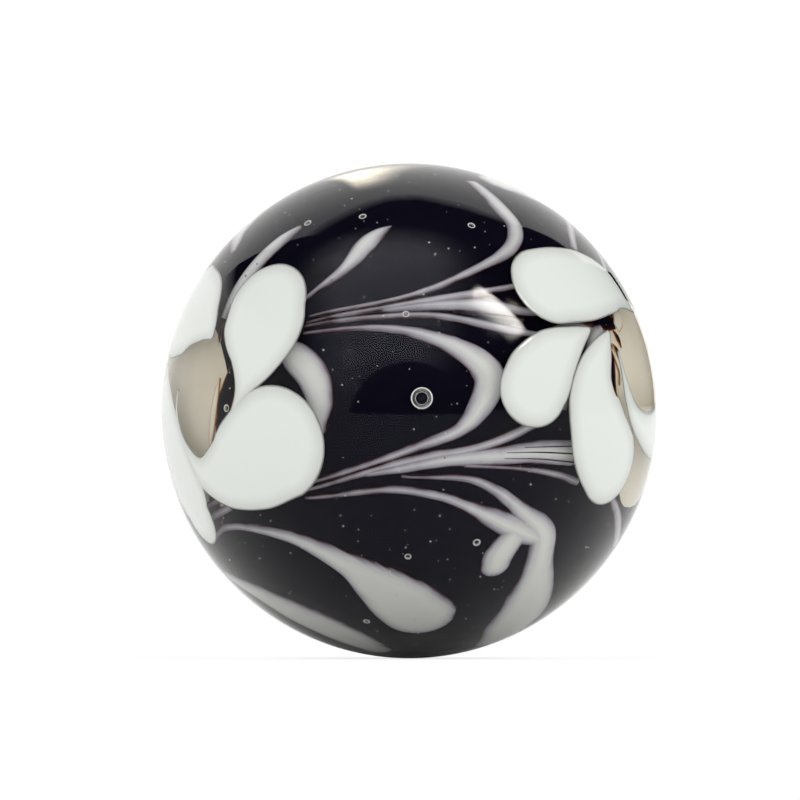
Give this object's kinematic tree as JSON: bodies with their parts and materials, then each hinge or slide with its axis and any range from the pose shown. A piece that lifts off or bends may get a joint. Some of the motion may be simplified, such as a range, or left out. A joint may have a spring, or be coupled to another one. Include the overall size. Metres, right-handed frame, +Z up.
{
  "type": "glass marble",
  "caption": "Round glass marble with a black band, white raked strokes, white petals and pale windows under clear glass.",
  "frame": {"origin": "centre of the ball", "axes": "-Y is the face with the raked strokes, +X points to the right-hand opening in the band as the face is looked at, and +Z is up"},
  "size_m": [0.03, 0.03, 0.03],
  "materials": {
    "pale_glass": "polished",
    "black_glass": "polished",
    "trail_glass": "polished",
    "white_glass": "polished",
    "clear_glass": "polished"
  },
  "bodies": {
    "root": {"glass_core": "pale_glass", "black_band": "black_glass", "trails": "trail_glass", "left_petals": "white_glass", "right_petals": "white_glass", "clear_coat": "clear_glass"}
  },
  "joints": []
}
